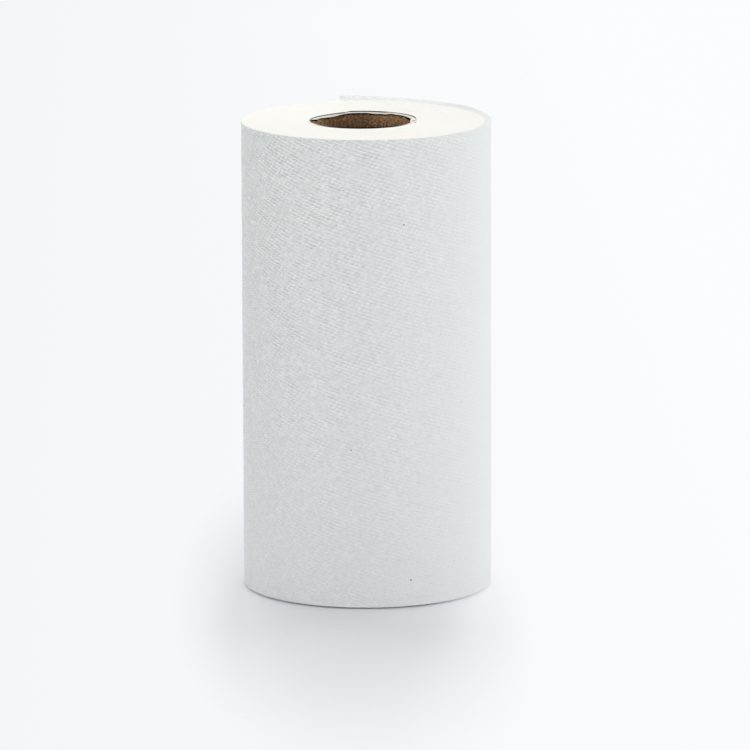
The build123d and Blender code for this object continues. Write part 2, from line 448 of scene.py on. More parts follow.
def web_tree(name, closed):
    """Bends flat skins round their routes and embosses them.

    A closed web is the wound body, which a plain band closes. An open one is a sheet
    with two skins, which meet at its four edges.
    """
    tree, given = new_tree(name, WEB_INPUTS, "NodeSocketGeometry")
    skin = skin_grid(tree, given)
    if closed:
        other = cap_grid(tree, given)
    else:
        back = node(tree, "GeometryNodeSetPosition", {"Geometry": skin, "Offset": (0.0, 0.0, 1.0)})
        other = node(tree, "GeometryNodeFlipFaces", {"Mesh": back})
    both = node(tree, "GeometryNodeJoinGeometry", {0: other})
    tree.links.new(skin.outputs[0], both.inputs[0])
    place = node(tree, "ShaderNodeSeparateXYZ", {0: node(tree, "GeometryNodeInputPosition")})
    along, up, layer = place.outputs
    to_end = node(tree, "ShaderNodeMath", {0: given["Length"], 1: along}, operation="SUBTRACT")

    # The free edge is torn back between its bonds, in a ragged line
    tear = node(
        tree, "ShaderNodeTexNoise", {"W": up, "Scale": 1 / TEAR_SIZE, "Detail": 2.0}, noise_dimensions="1D"
    )
    bonds = node(tree, "ShaderNodeMath", {0: up, 1: given["Bond spacing"]}, operation="DIVIDE")
    repeat = node(tree, "ShaderNodeMath", {0: bonds}, operation="FRACT")
    slit = node(tree, "ShaderNodeMath", {0: repeat, 1: BOND_SHARE}, operation="GREATER_THAN")
    bitten = node(tree, "ShaderNodeMath", {0: tear, 1: slit}, operation="ADD")
    torn = node(tree, "ShaderNodeMath", {0: bitten, 1: given["Torn depth"]}, operation="MULTIPLY")
    at_end = node(tree, "ShaderNodeMapRange", {0: to_end, 1: 0.0, 2: TORN_REACH, 3: 1.0, 4: 0.0})
    back_off = node(tree, "ShaderNodeMath", {0: torn, 1: at_end}, operation="MULTIPLY")
    reached = node(tree, "ShaderNodeMath", {0: along, 1: back_off}, operation="SUBTRACT")

    outer = node(
        tree,
        "GeometryNodeSampleCurve",
        {"Curves": given["Routes"], "Length": reached, "Curve Index": 0},
        mode="LENGTH",
    )
    outward = node(
        tree,
        "ShaderNodeVectorMath",
        {0: outer.outputs["Tangent"], 1: (0.0, 0.0, 1.0)},
        operation="CROSS_PRODUCT",
    )
    on_web = node(tree, "ShaderNodeMath", {0: reached, 1: given["Along from"]}, operation="ADD")
    told = {key: given[key] for key in RELIEF_SIZES} | {"Along": on_web, "Up": up}
    embossed = node(tree, "GeometryNodeGroup", told, node_tree=bpy.data.node_groups["Embossed relief"])
    relief, slant, firmness = node(tree, "ShaderNodeSeparateXYZ", {0: embossed.outputs["Result"]}).outputs
    upward = node(tree, "ShaderNodeCombineXYZ", {0: 0.0, 1: 0.0, 2: up})
    standing = node(
        tree, "ShaderNodeVectorMath", {0: outer.outputs["Position"], 1: upward}, operation="ADD"
    )
    waves = node(tree, "ShaderNodeTexNoise", {"Vector": standing, "Scale": 1 / WAVE_SIZE, "Detail": 1.0})
    swollen = node(tree, "ShaderNodeMath", {0: waves, 1: WAVE_TOP}, operation="SUBTRACT")
    sunk = node(
        tree, "ShaderNodeMath", {0: swollen, 1: given["Wave depth"], 2: relief}, operation="MULTIPLY_ADD"
    )

    # Nearness to an edge, from 0 on it to 1 inside
    above = node(tree, "ShaderNodeMath", {0: up, 1: given["Lower edge"]}, operation="SUBTRACT")
    below = node(tree, "ShaderNodeMath", {0: given["Upper edge"], 1: up}, operation="SUBTRACT")
    end_gap = node(tree, "ShaderNodeMath", {0: along, 1: to_end}, operation="MINIMUM")
    rim_gap = node(tree, "ShaderNodeMath", {0: above, 1: below}, operation="MINIMUM")
    gap = end_gap if closed else node(tree, "ShaderNodeMath", {0: end_gap, 1: rim_gap}, operation="MINIMUM")
    inside = node(tree, "ShaderNodeMapRange", {0: gap, 1: 0.0, 2: RIM_REACH, 3: 0.0, 4: 1.0})
    held = node(tree, "ShaderNodeMath", {0: sunk, 1: 0.0}, operation="MAXIMUM")
    hollow_shade = embossed.outputs["Hollow shade"]
    if closed:
        depth = node(tree, "ShaderNodeMath", {0: held, 1: inside}, operation="MULTIPLY")
    else:
        # The saw pressed the sheet flat along its edges
        eased = node(
            tree, "ShaderNodeMapRange", {0: rim_gap, 1: 0.0, 2: PRESSED_REACH, 3: PRESSED_SHARE, 4: 1.0}
        )
        held = node(tree, "ShaderNodeMath", {0: held, 1: eased}, operation="MULTIPLY")
        hollow_shade = node(tree, "ShaderNodeMath", {0: hollow_shade, 1: eased}, operation="MULTIPLY")
        body = node(tree, "ShaderNodeMath", {0: layer, 1: given["Thickness"]}, operation="MULTIPLY")
        depth = node(tree, "ShaderNodeMath", {0: body, 1: inside, 2: held}, operation="MULTIPLY_ADD")
    inward = node(tree, "ShaderNodeMath", {0: depth, 1: -1.0}, operation="MULTIPLY")
    pressed = node(tree, "ShaderNodeVectorMath", {0: outward, "Scale": inward}, operation="SCALE")
    skinned = node(tree, "ShaderNodeVectorMath", {0: standing, 1: pressed}, operation="ADD")
    if closed:
        share = node(tree, "ShaderNodeMath", {0: along, 1: given["Length"]}, operation="DIVIDE")
        hole = node(
            tree,
            "GeometryNodeSampleCurve",
            {"Curves": given["Routes"], "Factor": share, "Curve Index": 1},
            mode="FACTOR",
        )
        walled = node(
            tree, "ShaderNodeVectorMath", {0: hole.outputs["Position"], 1: upward}, operation="ADD"
        )
        placed = node(tree, "ShaderNodeMix", {0: layer, 4: skinned, 5: walled}, data_type="VECTOR")
    else:
        placed = skinned
    # The material paints shade from these: how deep a hollow is, and the slanting wave's phase and firmness
    marked = both
    for name, value in (("hollow_shade", hollow_shade), ("slant", slant), ("firmness", firmness)):
        marked = node(
            tree, "GeometryNodeStoreNamedAttribute", {"Geometry": marked, "Name": name, "Value": value}
        )
    bent = node(tree, "GeometryNodeSetPosition", {"Geometry": marked, "Position": placed})
    joined = node(tree, "GeometryNodeMergeByDistance", {"Geometry": bent, "Distance": WELD})
    return finish_tree(tree, given, joined)


EDGE_INPUTS = {
    "Turns": "NodeSocketInt",
    "Points per turn": "NodeSocketInt",
    "Inner radius": "NodeSocketFloat",
    "Outer radius": "NodeSocketFloat",
    "Inner centre": "NodeSocketVector",
    "Outer centre": "NodeSocketVector",
    "Level": "NodeSocketFloat",
    "Side": "NodeSocketFloat",
    "Ridge": "NodeSocketFloat",
    "Unevenness": "NodeSocketFloat",
    "Material": "NodeSocketMaterial",
}


# Cut edges stand high or low in stretches: steps of the noise from the middle of the roll
# to any side of it, and from one turn to the next
ROUND_STEPS = 1.6
TURN_STEPS = 0.8
CREST_SHARE = 0.35  # of a cut edge's width that is left at its crest


def edge_tree():
    """The sawn edge of the wound web: one ridge that follows the winding outwards."""
    tree, given = new_tree("Cut turns", EDGE_INPUTS, "NodeSocketGeometry")
    spiral = node(
        tree,
        "GeometryNodeCurveSpiral",
        {
            "Resolution": given["Points per turn"],
            "Rotations": given["Turns"],
            "Start Radius": given["Inner radius"],
            "End Radius": given["Outer radius"],
            "Height": 0.0,
        },
    )
    share = node(tree, "GeometryNodeSplineParameter").outputs["Factor"]
    place = node(tree, "GeometryNodeInputPosition")
    direction = node(tree, "ShaderNodeVectorMath", {0: place}, operation="NORMALIZE")
    wide = node(tree, "ShaderNodeVectorMath", {0: direction, "Scale": ROUND_STEPS}, operation="SCALE")
    turn = node(tree, "ShaderNodeMath", {0: share, 1: given["Turns"]}, operation="MULTIPLY")
    apart = node(tree, "ShaderNodeMath", {0: turn, 1: TURN_STEPS}, operation="MULTIPLY")
    stacked = node(tree, "ShaderNodeCombineXYZ", {0: 0.0, 1: 0.0, 2: apart})
    spot = node(tree, "ShaderNodeVectorMath", {0: wide, 1: stacked}, operation="ADD")
    uneven = node(tree, "ShaderNodeTexNoise", {"Vector": spot, "Scale": 1.0, "Detail": 3.0})
    low = node(
        tree, "ShaderNodeMapRange", {0: uneven, 1: NOISE_LOW, 2: NOISE_HIGH, 3: 0.0, 4: given["Unevenness"]}
    )
    half = node(tree, "ShaderNodeMath", {0: given["Ridge"], 1: 0.5, 2: low}, operation="MULTIPLY_ADD")
    inward = node(tree, "ShaderNodeMath", {0: half, 1: given["Side"]}, operation="MULTIPLY")
    height = node(tree, "ShaderNodeMath", {0: given["Level"], 1: inward}, operation="SUBTRACT")
    lifted = node(tree, "ShaderNodeCombineXYZ", {0: 0.0, 1: 0.0, 2: height})
    centre = node(
        tree,
        "ShaderNodeMix",
        {0: share, 4: given["Inner centre"], 5: given["Outer centre"]},
        data_type="VECTOR",
    )
    shift = node(tree, "ShaderNodeVectorMath", {0: lifted, 1: centre}, operation="ADD")
    wound = node(tree, "GeometryNodeSetPosition", {"Geometry": spiral, "Offset": shift})
    upright = node(tree, "GeometryNodeSetCurveNormal", {"Curve": wound}, mode="Z_UP")
    radii = node(
        tree, "ShaderNodeMath", {0: given["Outer radius"], 1: given["Inner radius"]}, operation="SUBTRACT"
    )
    pitch = node(tree, "ShaderNodeMath", {0: radii, 1: given["Turns"]}, operation="DIVIDE")
    crest = node(tree, "ShaderNodeMath", {0: pitch, 1: CREST_SHARE}, operation="MULTIPLY")
    ridge = node(
        tree,
        "GeometryNodeCurvePrimitiveQuadrilateral",
        {"Height": given["Ridge"], "Bottom Width": pitch, "Top Width": crest, "Offset": 0.0},
        mode="TRAPEZOID",
    )
    swept = node(
        tree, "GeometryNodeCurveToMesh", {"Curve": upright, "Profile Curve": ridge, "Fill Caps": True}
    )
    return finish_tree(tree, given, swept)


def new_material(name, roughness, specular):
    """A material, its tree and its shader, as dull or glossy as told."""
    material = bpy.data.materials.new(name)
    material.use_nodes = True
    shader = material.node_tree.nodes["Principled BSDF"]
    shader.inputs["Roughness"].default_value = roughness
    shader.inputs["Specular IOR Level"].default_value = specular
    return material, material.node_tree, shader


def off_line(tree, place, foot):
    """How far a place is from the upright line through a foot."""
    level = node(tree, "ShaderNodeVectorMath", {0: place, 1: (1.0, 1.0, 0.0)}, operation="MULTIPLY")
    off = node(tree, "ShaderNodeVectorMath", {0: level, 1: foot}, operation="DISTANCE")
    return off.outputs["Value"]


# Tissue fibres are a fiftieth of a millimetre wide, and are drawn coarse enough to show
FIBRE_SIZE = 0.4 * MM

# Turns the slanting wave against the mesh's, in radians, so that each dash is one slanted shape
SLANT_PHASE = -0.56

# A sheet lets light through from where it clears the roll, fully so from further off
LIGHT_REACH = 3 * MM  # how far light spreads in the sheet
CLEAR_FROM = 0.2 * MM
CLEAR_TO = 6 * MM

# The firm turns end in a circle of their own. Outside it, on the right, the turns are loose, and painted
# shade greys the gaps between them.
FIRM_CENTRE = ROLL_CENTRE - Vector((1.7 * MM, 1.9 * MM, 0))
FIRM_RADIUS = ROLL_RADIUS - 1.1 * MM
LOOSE_BLUR = 0.6 * MM  # over which the loose turns begin
LOOSE_WAVER = 1.2 * MM  # of the line where they do
LOOSE_SIZE = 4 * MM  # of a waver
LOOSE_FROM, LOOSE_TO = 18 * MM, 38 * MM  # right of the core, where their painted shade shows more and more


def tissue(name, paper, hollow_shade_tone, slant_shade, thin=False, loose=None):
    """Bleached creped tissue, air dried and embossed: a matt, slightly fibrous white.

    Pressed hollows get a painted shade, darker the deeper they are. A thin sheet lets
    light through where it stands off the roll. On an end face the last turns lie loose on
    the right, and a painted shade of the gaps between them greys a crescent of it: loose
    gives how far, and the shade's colour.
    """
    material, tree, shader = new_material(name, 0.95, 0.15)
    place = node(tree, "ShaderNodeTexCoord").outputs["Object"]
    if thin:
        shader.inputs["Subsurface Radius"].default_value = (1.0, 1.0, 1.0)
        shader.inputs["Subsurface Scale"].default_value = LIGHT_REACH
        off = off_line(tree, place, ROLL_CENTRE)
        near, far = ROLL_RADIUS + CLEAR_FROM, ROLL_RADIUS + CLEAR_TO
        clear = node(tree, "ShaderNodeMapRange", {0: off, 1: near, 2: far, 3: 0.0, 4: 1.0})
        tree.links.new(clear.outputs["Result"], shader.inputs["Subsurface Weight"])
    # Painted shade in the hollows, darker the deeper they are
    hollow_shade = node(tree, "ShaderNodeAttribute", attribute_name="hollow_shade").outputs["Fac"]
    pressed = node(
        tree, "ShaderNodeMix", {0: hollow_shade, 6: paper, 7: hollow_shade_tone}, data_type="RGBA", clamp_factor=True
    )
    fibres = node(tree, "ShaderNodeTexNoise", {"Vector": place, "Scale": 1 / FIBRE_SIZE, "Detail": 2.0})
    tone = node(tree, "ShaderNodeMapRange", {0: fibres, 1: NOISE_LOW, 2: NOISE_HIGH, 3: 0.96, 4: 1.0})
    tinted = node(
        tree,
        "ShaderNodeMix",
        {0: 1.0, 6: pressed.outputs["Result"], 7: tone},
        data_type="RGBA",
        blend_type="MULTIPLY",
    )

    toned = tinted.outputs["Result"]
    # Painted shade of the gaps between the loose last turns, in a crescent on the right
    if loose:
        strength, shadow = loose
        off = off_line(tree, place, FIRM_CENTRE)
        drift = node(tree, "ShaderNodeTexNoise", {"Vector": place, "Scale": 1 / LOOSE_SIZE, "Detail": 3.0})
        reach = node(tree, "ShaderNodeMath", {0: drift, 1: LOOSE_WAVER, 2: off}, operation="MULTIPLY_ADD")
        near, far = FIRM_RADIUS, FIRM_RADIUS + LOOSE_BLUR
        crescent = node(tree, "ShaderNodeMapRange", {0: reach, 1: near, 2: far, 3: 0.0, 4: strength})
        side = node(tree, "ShaderNodeSeparateXYZ", {0: place}).outputs["X"]
        more = node(tree, "ShaderNodeMapRange", {0: side, 1: LOOSE_FROM, 2: LOOSE_TO, 3: 0.0, 4: 1.0})
        crescent_shade = node(tree, "ShaderNodeMath", {0: crescent, 1: more}, operation="MULTIPLY")
        crescent_shaded = node(
            tree,
            "ShaderNodeMix",
            {0: crescent_shade, 6: toned, 7: shadow},
            data_type="RGBA",
            blend_type="MULTIPLY",
        )
        toned = crescent_shaded.outputs["Result"]

    # The wave that slants the dashes is painted as shade on their lower sides, as it is finer than the mesh
    phase = node(tree, "ShaderNodeAttribute", attribute_name="slant").outputs["Fac"]
    firmness = node(tree, "ShaderNodeAttribute", attribute_name="firmness").outputs["Fac"]
    turned = node(
        tree, "ShaderNodeMath", {0: phase, 1: math.pi, 2: SLANT_PHASE}, operation="MULTIPLY_ADD"
    )
    wave = node(tree, "ShaderNodeMath", {0: turned}, operation="SINE")
    shade = node(tree, "ShaderNodeMath", {0: wave, 1: slant_shade}, operation="MULTIPLY")
    shaded = node(tree, "ShaderNodeMath", {0: shade, 1: firmness, 2: 1.0}, operation="MULTIPLY_ADD")
    slanted = node(
        tree,
        "ShaderNodeMix",
        {0: 1.0, 6: toned, 7: shaded},
        data_type="RGBA",
        blend_type="MULTIPLY",
    )
    tree.links.new(slanted.outputs["Result"], shader.inputs["Base Color"])
    bump = node(tree, "ShaderNodeBump", {"Strength": 0.4, "Distance": 0.05 * MM, "Height": fibres})
    tree.links.new(bump.outputs[0], shader.inputs["Normal"])
    return material


# Board fibres are drawn this long and wide along their strip, coarse enough to show
BOARD_FIBRE_LENGTH = 5 * MM
BOARD_FIBRE_WIDTH = 0.7 * MM
MOTTLE_SIZE = MM / 1.1  # of light and dark pulp in the board
BORE_LIGHT_WAVER_SIZE = MM / 0.12  # 8.3 mm, of the painted shade's wavering edge
BORE_LIGHT_WAVER = 0.02  # how far it wavers, in turns

# By bearing in degrees from the right: how light the bore is, as painted light and shade, darkest at the back
BORE_LIGHT_TONES = (
    (0, 1.4), (60, 1.2), (76, 1.1), (80, 0.8), (100, 0.66), (118, 0.66), (130, 0.72), (147, 1.2), (360, 1.15),
)

# Painted shade darkens the bore away from its ends, and only the very end is sawn
DEEP_SHADE_FROM, DEEP_SHADE_TO = 9 * MM, 1 * MM
DEEP_SHADE_TONE = 0.45
SAWN_FROM, SAWN_TO = 0.3 * MM, 0.1 * MM
DARK_TO, PALE_FROM = -18 * MM, -10 * MM  # along Y: the sawn end is dark in front, pale behind


def board(name, core):
    """Brown core board, wound in a helix from strips: matt, with fibres along its strips.

    Painted light and shade by bearing lighten its right and darken a stretch at the back,
    and painted shade darkens it away from its ends. Its sawn ends are frayed pale, dark
    with painted shade of the gap at the back, covered by the first turn's fold on the left
    and dark in front.
    """
    material, tree, shader = new_material(name, 0.85, 0.25)
    coordinates = node(tree, "ShaderNodeTexCoord").outputs["Object"]
    place = node(tree, "ShaderNodeSeparateXYZ", {0: coordinates})
    bearing = node(
        tree, "ShaderNodeMath", {0: place.outputs["Y"], 1: place.outputs["X"]}, operation="ARCTAN2"
    )
    turn = node(tree, "ShaderNodeMath", {0: bearing, 1: 1 / TAU}, operation="MULTIPLY")
    climb = -1 / core.seam_lead
    strips = node(
        tree, "ShaderNodeMath", {0: place.outputs["Z"], 1: climb, 2: turn}, operation="MULTIPLY_ADD"
    )
    widths = core.seam_lead / BOARD_FIBRE_WIDTH
    lengths = 1 / BOARD_FIBRE_LENGTH
    across = node(tree, "ShaderNodeMath", {0: strips, 1: widths}, operation="MULTIPLY")
    upward = node(tree, "ShaderNodeMath", {0: place.outputs["Z"], 1: lengths}, operation="MULTIPLY")
    front = node(tree, "ShaderNodeMath", {0: bearing}, operation="COSINE")
    spot = node(tree, "ShaderNodeCombineXYZ", {0: across, 1: upward, 2: front})
    fibres = node(tree, "ShaderNodeTexNoise", {"Vector": spot, "Scale": 1.0, "Detail": 3.0})
    pulp = node(
        tree, "ShaderNodeTexNoise", {"Vector": coordinates, "Scale": 1 / MOTTLE_SIZE, "Detail": 4.0}
    )
    streaks = node(tree, "ShaderNodeMapRange", {0: fibres, 1: NOISE_LOW, 2: NOISE_HIGH, 3: 0.8, 4: 1.15})
    mottle = node(tree, "ShaderNodeMapRange", {0: pulp, 1: 0.35, 2: 0.65, 3: 0.45, 4: 1.45})
    # Painted light and shade of the bore by bearing, with a wavering edge
    drift = node(
        tree, "ShaderNodeTexNoise", {"Vector": coordinates, "Scale": 1 / BORE_LIGHT_WAVER_SIZE, "Detail": 2.0}
    )
    wavered = node(tree, "ShaderNodeMath", {0: drift, 1: BORE_LIGHT_WAVER, 2: turn}, operation="MULTIPLY_ADD")
    bore_light = node(tree, "ShaderNodeValToRGB", {0: wavered})
    stops = bore_light.color_ramp.elements
    (_, first), *between_ends, (_, last) = BORE_LIGHT_TONES
    stops[0].color = (first, first, first, 1)
    stops[1].color = (last, last, last, 1)
    for degrees, tone in between_ends:
        stops.new(degrees / 360).color = (tone, tone, tone, 1)
    middle = (CORE_HIGH.z + CORE_LOW.z) / 2
    half = CORE_HIGH.z - middle
    off_middle = node(tree, "ShaderNodeMath", {0: place.outputs["Z"], 1: middle}, operation="SUBTRACT")
    to_end = node(tree, "ShaderNodeMath", {0: off_middle}, operation="ABSOLUTE")
    # Painted shade, darker deeper in the bore
    deep_shade = node(
        tree,
        "ShaderNodeMapRange",
        {0: to_end, 1: half - DEEP_SHADE_FROM, 2: half - DEEP_SHADE_TO, 3: DEEP_SHADE_TONE, 4: 1.0},
    )
    toned = core.board
    for factor in (bore_light, streaks, mottle, deep_shade):
        mixed = node(
            tree, "ShaderNodeMix", {0: 1.0, 6: toned, 7: factor}, data_type="RGBA", blend_type="MULTIPLY"
        )
        toned = mixed.outputs["Result"]
    sawn = node(
        tree, "ShaderNodeMapRange", {0: to_end, 1: half - SAWN_FROM, 2: half - SAWN_TO, 3: 0.0, 4: 1.0}
    )
    pale = node(
        tree, "ShaderNodeMapRange", {0: place.outputs["Y"], 1: DARK_TO, 2: PALE_FROM, 3: 0.0, 4: 1.0}
    )

    # By bearing, the sawn end is frayed on the right, dark with painted shade of the gap at the back and
    # folded over on the left
    edge = node(tree, "ShaderNodeValToRGB", {0: turn})
    stops = edge.color_ramp.elements
    stops[0].color = core.frayed
    stops[1].color = core.folded
    for degrees, tone in ((55, core.frayed), (62, core.gap_shade), (102, core.gap_shade), (108, core.folded)):
        stops.new(degrees / 360).color = tone
    rim = node(tree, "ShaderNodeMix", {0: pale, 6: core.torn, 7: edge}, data_type="RGBA")
    ended = node(tree, "ShaderNodeMix", {0: sawn, 6: toned, 7: rim.outputs["Result"]}, data_type="RGBA")
    tree.links.new(ended.outputs["Result"], shader.inputs["Base Color"])
    bump = node(tree, "ShaderNodeBump", {"Strength": 0.5, "Distance": 0.15 * MM, "Height": fibres})
    tree.links.new(bump.outputs[0], shader.inputs["Normal"])
    return material


TUFT_SIZE = MM / 0.9  # of torn fibres that stand together
TUFT_REACH = 0.6 * MM  # how far light spreads in them


def fluff(name, tone, downy):
    """Torn fibres: dull and uneven, and where they are downy, light gets into them.

    Matted pulp and the dark sheets of painted shade are not downy, and take in the light.
    """
    material, tree, shader = new_material(name, 0.95, 0.15 if downy else 0.0)
    if downy:
        shader.inputs["Subsurface Weight"].default_value = 1.0
        shader.inputs["Subsurface Radius"].default_value = (1.0, 0.9, 0.8)
        shader.inputs["Subsurface Scale"].default_value = TUFT_REACH
    place = node(tree, "ShaderNodeTexCoord").outputs["Object"]
    tufts = node(tree, "ShaderNodeTexNoise", {"Vector": place, "Scale": 1 / TUFT_SIZE, "Detail": 3.0})
    shade = node(tree, "ShaderNodeMapRange", {0: tufts, 1: NOISE_LOW, 2: NOISE_HIGH, 3: 0.9, 4: 1.0})
    mixed = node(
        tree, "ShaderNodeMix", {0: 1.0, 6: tone, 7: shade}, data_type="RGBA", blend_type="MULTIPLY"
    )
    tree.links.new(mixed.outputs["Result"], shader.inputs["Base Color"])
    bump = node(tree, "ShaderNodeBump", {"Strength": 0.5, "Distance": 0.2 * MM, "Height": tufts})
    tree.links.new(bump.outputs[0], shader.inputs["Normal"])
    return material


def loft(sections, ring):
    """A closed mesh over sections, which are loops of as many points each."""
    size = len(sections[0])
    count = len(sections)
    faces = []
    for i in range(count if ring else count - 1):
        here, there = i * size, (i + 1) % count * size
        for k in range(size):
            after = (k + 1) % size
            faces.append((here + k, there + k, there + after, here + after))
    if not ring:
        faces.append(tuple(range(size)))
        faces.append(tuple(reversed(range((count - 1) * size, count * size))))
    mesh = bpy.data.meshes.new("loft")
    mesh.from_pydata([point for section in sections for point in section], [], faces)
    return mesh


def at_bearing(bearing, radius, height):
    """The point at a bearing round the core's axis."""
    return Vector((radius * math.cos(bearing), radius * math.sin(bearing), height))


def arc_points(centre, radius, start, turn):
    """Plan points along an arc, about one a degree."""
    count = max(1, round(abs(turn) / math.radians(1)))
    angles = [start + turn * i / count for i in range(count + 1)]
    return [centre + radius * Vector((math.cos(a), math.sin(a), 0)) for a in angles]


def body_route(web):
    """The outer face of the wound web, from under the loose end's root once round."""
    back_centre = ROLL_CENTRE - Vector((web.wound_pitch / 2, 0, 0))
    back = arc_points(back_centre, ROLL_RADIUS - web.wound_pitch / 2, 0, math.pi)
    step = math.radians(1)
    front = arc_points(ROLL_CENTRE, ROLL_RADIUS, math.pi + step, math.pi - 2 * step)
    return back + front + back[:1]


def loose_route(loose, tuck):
    """The outer face of the loose end, from its root, which is tucked under the last turn."""
    sunk = 0.15 * MM
    step = math.radians(0.5)
    root = arc_points(ROLL_CENTRE, ROLL_RADIUS - sunk, -tuck, tuck - step)
    attached = arc_points(ROLL_CENTRE, ROLL_RADIUS, 0, loose.peel_angle)
    outward = Vector((math.cos(loose.peel_angle), math.sin(loose.peel_angle), 0))
    onward = Vector((-outward.y, outward.x, 0))
    peeled = attached[-1] + loose.peel_run * onward
    curl_radius = ROLL_RADIUS + loose.curl_slack + loose.thickness / 2
    curl_centre = peeled - curl_radius * outward
    return root + attached + arc_points(curl_centre, curl_radius, loose.peel_angle, loose.curl_angle)


def route_length(points):
    """The length of a run of points."""
    return sum((b - a).length for a, b in zip(points, points[1:]))


def route_curves(name, *routes):
    """A curve with one plain spline for each run of points."""
    curve = bpy.data.curves.new(name, "CURVE")
    curve.dimensions = "3D"
    for points in routes:
        spline = curve.splines.new("POLY")
        spline.points.add(len(points) - 1)
        for target, point in zip(spline.points, points):
            target.co = (*point, 1.0)
    return curve


def web_layout(web):
    """Columns and rows of the emboss, fitted so that they meet where the body's route closes."""
    route = body_route(web)
    total = route_length(route)
    columns = round(total / (web.dash_spacing / 2))
    row = web.row_spacing / 2
    fallen_rows = round(web.row_fall * total / row)
    return {
        "route": route,
        "length": total,
        "columns": columns,
        "column": total / columns,
        "row": row,
        "fallen_rows": fallen_rows,
        "fall": fallen_rows * row / total,
        "lower": WEB_LOW.z + web.skin_lift,
        "upper": WEB_HIGH.z - web.skin_drop,
    }


ROOT_COLUMNS = 2  # of the loose end's root, tucked under the last turn
LIP_COLUMNS = 360  # of each ring round the core
TURN_POINTS = 96  # of the cut edge, for one turn
FLAP_COLUMNS = 36  # of the torn flap, along the core's end
SPLINTER_BENDS = 6  # of a loose splinter, between its ends

# Flecks that show in front: bearing round the roll in degrees, height and half length in
# mm. The rest are as long as FLECK_SIZES say and lie at the back, from one bearing to the other.
SEEN_FLECKS = (
    (-74.8, 163.7, 0.55),
    (-99.3, 68.4, 0.45),
    (-71.7, 11.8, 0.55),
    (-93.4, 189.3, 0.30),
    (-102.1, 178.8, 0.33),
    (-89.0, 156.9, 0.30),
    (-71.4, 151.8, 0.30),
    (-93.6, 146.6, 0.30),
    (-55.9, 115.9, 0.28),
    (-43.1, 85.2, 0.28),
    (-78.5, 67.5, 0.28),
    (-82.5, 55.9, 0.28),
    (-48.2, 17.4, 0.30),
)
FLECK_SIZES = (0.15, 0.3)
FLECK_BEARINGS = (20, 190)
FLECK_SEED = 12


def sheet_columns(web, loose, layout):
    """How many columns the loose end has, and its route."""
    tuck = ROOT_COLUMNS * layout["column"] / ROLL_RADIUS
    route = loose_route(loose, tuck)
    return int(route_length(route) / layout["column"]), route


def shared_inputs(web, loose, layout):
    """What both trees of the web are told alike."""
    columns, _ = sheet_columns(web, loose, layout)
    loose_length = (columns - ROOT_COLUMNS) * layout["column"]
    return {
        "Lower edge": layout["lower"],
        "Upper edge": layout["upper"],
        "Column": layout["column"],
        "Row": layout["row"],
        "Row fall": layout["fall"],
        "Boss height": web.boss_height,
        "Crepe depth": web.crepe_depth,
        "Peel at": layout["length"],
        "Wave depth": web.wave_depth,
        "Slit at": layout["length"] + loose_length - web.sheet_length,
        "Bond spacing": web.bond_spacing,
    }


class ROLL_OT_wound_body(bpy.types.Operator):
    """Makes the wound web with its embossed outer skin"""

    bl_idname = "roll.wound_body"
    bl_label = "Wound body"

    def execute(self, context):
        web, loose = context.scene.roll_web, context.scene.roll_loose
        layout = web_layout(web)
        hole = arc_points(HOLE_CENTRE, HOLE_RADIUS, 0, TAU)
        relief_tree()
        inputs = shared_inputs(web, loose, layout) | {
            "Length": layout["length"],
            "Columns": layout["columns"],
            "Rows": math.ceil(layout["upper"] / layout["row"]) + layout["fallen_rows"],
            "Along from": 0.0,
            "Row offset": 0.0,
            "Thickness": 0.0,
            "Torn depth": 0.0,
            "Material": tissue("Embossed tissue", web.paper, web.hollow_shade, web.slant_shade),
        }
        routes = route_curves("Body routes", layout["route"], hole)
        piece = grow("wound_body", routes, web_tree("Wound body", True), inputs)
        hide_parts("towel_roll")
        return {"FINISHED"}


class ROLL_OT_loose_end(bpy.types.Operator):
    """Makes the last sheet's loose end, which stands off the back of the roll"""

    bl_idname = "roll.loose_end"
    bl_label = "Loose end"

    def execute(self, context):
        web, loose = context.scene.roll_web, context.scene.roll_loose
        layout = web_layout(web)
        columns, route = sheet_columns(web, loose, layout)
        along_from = (layout["columns"] - ROOT_COLUMNS) * layout["column"]
        sheet_length = columns * layout["column"]
        offset = -(layout["fall"] * along_from % layout["row"])
        reach = layout["upper"] + layout["fall"] * sheet_length - offset
        inputs = shared_inputs(web, loose, layout) | {
            "Length": sheet_length,
            "Columns": columns,
            "Rows": math.ceil(reach / layout["row"]),
            "Along from": along_from,
            "Row offset": offset,
            "Thickness": loose.thickness,
            "Torn depth": loose.torn_depth,
            "Material": tissue("Single sheet of tissue", web.paper, web.hollow_shade, web.slant_shade, True),
        }
        routes = route_curves("Sheet route", route)
        grow("loose_end", routes, web_tree("Loose end", False), inputs)
        return {"FINISHED"}


HOLE_MARGIN = 0.3 * MM  # between the hole and the first cut edge
FOOT_INSET = 2 * MM  # of the last cut edge on the lower end, where the roll's foot is soft


